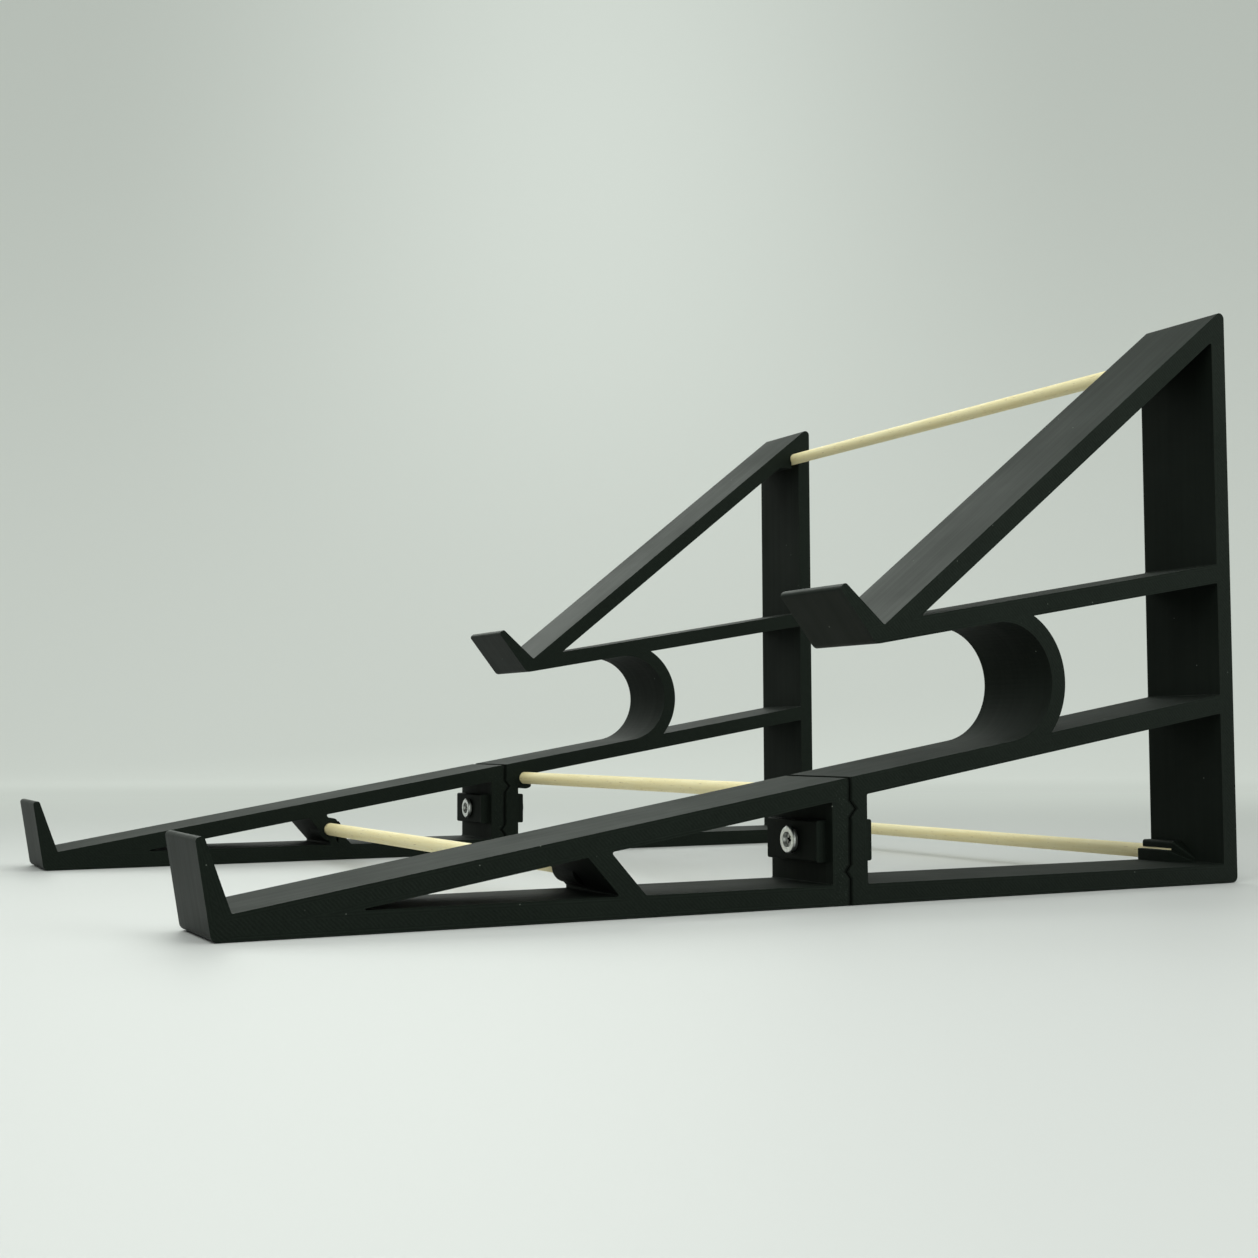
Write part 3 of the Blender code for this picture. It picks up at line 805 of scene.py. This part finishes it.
# a sheet that lies under the stand and sweeps up behind it
def makeStage(look):
    heading = math.radians(viewHeading)
    bm = bmesh.new()
    points = [(look["near"], 0.0), (look["far"], 0.0)]
    for i in range(1, look["bendSteps"] + 1):
        a = math.radians(90 * i / look["bendSteps"])
        points.append((look["far"] + look["bend"] * math.sin(a), look["bend"] * (1 - math.cos(a))))
    points.append((look["far"] + look["bend"], look["height"]))
    verts = [bm.verts.new((-look["width"] / 2, y, z)) for y, z in points]
    edges = [bm.edges.new(pair) for pair in zip(verts[:-1], verts[1:])]
    made = bmesh.ops.extrude_edge_only(bm, edges=edges)["geom"]
    moved = [v for v in made if isinstance(v, bmesh.types.BMVert)]
    bmesh.ops.translate(bm, verts=moved, vec=(look["width"], 0, 0))
    bmesh.ops.rotate(bm, verts=bm.verts, cent=(0, 0, 0), matrix=Matrix.Rotation(heading, 3, "Z"))
    bmesh.ops.recalc_face_normals(bm, faces=bm.faces)
    if sum((f.normal * f.calc_area() for f in bm.faces), Vector()).z < 0:
        bmesh.ops.reverse_faces(bm, faces=bm.faces)
    bmesh.ops.translate(bm, verts=bm.verts, vec=(0, 0, -look["under"]))
    mesh = bpy.data.meshes.new("sweep")
    bm.to_mesh(mesh)
    bm.free()
    mesh.polygons.foreach_set("use_smooth", [True] * len(mesh.polygons))
    sweep = bpy.data.objects.new("sweep", mesh)
    bpy.context.collection.objects.link(sweep)

    material, tree, shader, place = newMaterial("paleSweep")
    shader.inputs["Roughness"].default_value = look["roughness"]
    shader.inputs["Specular IOR Level"].default_value = look["specular"]
    x, y, z = splitUp(tree, stretch(tree, place, (1, 1, 1), turn=(0, 0, -heading)))
    # painted shade: the floor's colour darkens away from the stand, where the light falls off
    distance = remap(tree, y, *look["floorFade"], 0.0, 1.0, True)
    base = mixColour(tree, distance, look["floor"], look["floorShadedFar"])
    upright = remap(tree, y, *look["wallStart"], 0.0, 1.0, True)
    tree.links.new(mixColour(tree, upright, base, look["wallBase"]), shader.inputs["Base Color"])

    glow = tree.nodes.new("ShaderNodeEmission")
    middle = calc(tree, "ABSOLUTE", calc(tree, "SUBTRACT", x, look["brightMiddle"]))
    middle = remap(tree, middle, *look["brightHalf"], 1.0, 0.0, True)
    wall = mixColour(tree, middle, look["wallEdge"], look["wallHigh"])
    rise = remap(tree, z, *look["wallRise"], 0.0, 1.0, True)
    wall = mixColour(tree, rise, look["wallLow"], wall)
    # towards its edges the sheet takes on the colour of the open room
    fade = remap(tree, calc(tree, "ABSOLUTE", x), *look["fadeAcross"], 0.0, 1.0, True)
    fade = calc(tree, "MAXIMUM", fade, remap(tree, z, *look["fadeUp"], 0.0, 1.0, True))
    tree.links.new(mixColour(tree, fade, wall, look["wallLow"]), glow.inputs["Color"])
    upright = calc(tree, "MULTIPLY", upright, calc(tree, "SUBTRACT", 1.0, fade))
    tree.links.new(remap(tree, upright, 0.0, 1.0, 1.0, look["wallLift"]), glow.inputs["Strength"])

    # away from the stand the glow takes over from the lit sheet, on the wall only in part
    behind = remap(tree, y, *look["glowBehind"], 0.0, 1.0, True)
    spread = tree.nodes.new("ShaderNodeVectorMath")
    spread.operation = "LENGTH"
    tree.links.new(place, spread.inputs[0])
    around = remap(tree, spread.outputs["Value"], *look["glowAround"], 0.0, 1.0, True)
    away = calc(tree, "MAXIMUM", calc(tree, "MAXIMUM", behind, around), fade)
    away = calc(tree, "MULTIPLY", away, remap(tree, upright, 0.0, 1.0, 1.0, look["wallGlow"]))
    away = calc(tree, "MULTIPLY", seenDirectly(tree), away)
    blendShaders(tree, away, shader.outputs[0], glow.outputs[0])
    material.cycles.emission_sampling = "NONE"  # the glow is seen, it doesn't light
    mesh.materials.append(material)


makeStage(stageLook)


lamps = {
    "front": {"place": (0.85, -0.80, 1.15), "size": (1.1, 1.1), "power": 12.3},
    "top": {"place": (0.10, 0.10, 1.40), "size": (1.5, 1.3), "power": 11.5},
    "left": {"place": (-1.25, 0.30, 0.85), "size": (1.1, 0.9), "power": 6.8},
    "low": {"place": (-0.95, -0.85, 0.70), "size": (0.9, 0.8), "power": 2.0},
    "right": {"place": (1.35, 0.60, 0.60), "size": (1.0, 0.9), "power": 7.0},
}
lampLook = {"target": (0, 0, 0.08), "colour": (0.95, 1.0, 0.945)}
worldLook = {"lit": (0.96, 1.0, 0.96, 1.0), "strength": 0.05, "shown": stageLook["wallLow"]}


def makeLamps(settings, shared):
    target = Vector(shared["target"])
    for name, look in settings.items():
        light = bpy.data.lights.new(name + "Softbox", "AREA")
        light.shape = "RECTANGLE"
        light.size, light.size_y = look["size"]
        light.energy = look["power"]
        light.color = shared["colour"]
        lamp = bpy.data.objects.new(name + "Softbox", light)
        lamp.location = look["place"]
        lamp.rotation_euler = (target - lamp.location).to_track_quat("-Z", "Y").to_euler()
        bpy.context.collection.objects.link(lamp)


def makeWorld(look):
    world = bpy.data.worlds.new("studio")
    world.use_nodes = True
    tree = world.node_tree
    light = next(node for node in tree.nodes if node.type == "BACKGROUND")
    light.inputs["Color"].default_value = look["lit"]
    light.inputs["Strength"].default_value = look["strength"]
    shown = tree.nodes.new("ShaderNodeBackground")
    shown.inputs["Color"].default_value = look["shown"]
    blendShaders(tree, seenDirectly(tree), light.outputs[0], shown.outputs[0])
    bpy.context.scene.world = world


makeLamps(lamps, lampLook)
makeWorld(worldLook)


cameraLook = {
    "place": (0.683145, -0.329213, 0.061036),
    "rise": 3.425,
    "roll": -0.241,
    "focal": 1729.363,
    "pixels": 1258,
    "sensor": 36.0,
    "clip": 0.01,
}


# the photograph's own camera, its focal length in the photograph's pixels
def makeCamera(look):
    heading = math.radians(viewHeading)
    rise = math.radians(look["rise"])
    roll = math.radians(look["roll"])
    forward = Vector((
        -math.sin(heading) * math.cos(rise),
        math.cos(heading) * math.cos(rise),
        math.sin(rise),
    ))
    right = Vector((math.cos(heading), math.sin(heading), 0.0))
    up = right.cross(forward)
    turnedRight = right * math.cos(roll) + up * math.sin(roll)
    turnedUp = up * math.cos(roll) - right * math.sin(roll)
    camera = bpy.data.cameras.new("photoCamera")
    camera.sensor_fit = "HORIZONTAL"
    camera.sensor_width = look["sensor"]
    camera.lens = look["focal"] / look["pixels"] * look["sensor"]
    camera.clip_start = look["clip"]
    viewer = bpy.data.objects.new("photoCamera", camera)
    axes = Matrix((turnedRight, turnedUp, -forward)).transposed()
    viewer.matrix_world = Matrix.Translation(look["place"]) @ axes.to_4x4()
    bpy.context.collection.objects.link(viewer)
    bpy.context.scene.camera = viewer


makeCamera(cameraLook)
bpy.context.scene.view_settings.view_transform = "Standard"
print("stage, lamps and camera set")
